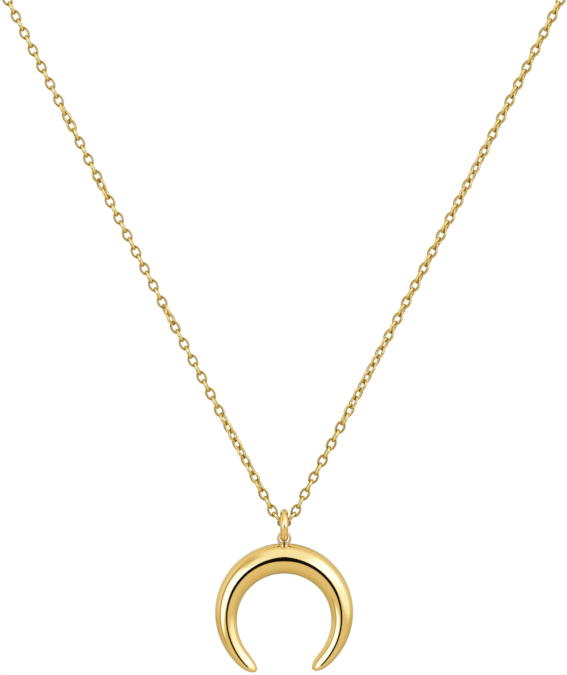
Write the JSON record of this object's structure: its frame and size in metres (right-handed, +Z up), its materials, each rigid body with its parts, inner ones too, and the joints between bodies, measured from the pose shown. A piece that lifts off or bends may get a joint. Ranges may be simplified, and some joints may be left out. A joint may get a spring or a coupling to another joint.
{
  "type": "crescent moon pendant necklace",
  "caption": "Polished gold-coloured crescent moon pendant, horns down, hung by a soldered eye and a jump ring on a fine oval cable chain that closes at the nape with a spring-ring clasp.",
  "frame": {"origin": "where the nape of the neck touches the inner side of the clasp, at the back and middle of the necklace", "axes": "+Z up, +X to the right as one looks at the front of the necklace, the pendant and the front of the chain at -Y"},
  "size_m": [0.111, 0.0916, 0.1295],
  "materials": {
    "polished_gold": "gold-plated brass, mirror polished",
    "chain_gold": "gold-plated brass, polished drawn wire"
  },
  "bodies": {
    "necklace": {"chain_links": "chain_gold", "back_chain": "chain_gold", "clasp": "polished_gold", "end_ring": "polished_gold"},
    "bail": {"jump_ring": "polished_gold"},
    "moon": {"crescent": "polished_gold"}
  },
  "joints": [
    {"name": "ring_swing", "type": "hinge", "parent": "necklace", "child": "bail", "pos_m": [0, -0.0868, -0.10398], "axis": [1, 0, 0], "range_deg": [-50, 50]},
    {"name": "moon_swing", "type": "hinge", "parent": "bail", "child": "moon", "pos_m": [0, -0.0868, -0.10677], "axis": [0, 1, 0], "range_deg": [-75, 75]}
  ]
}
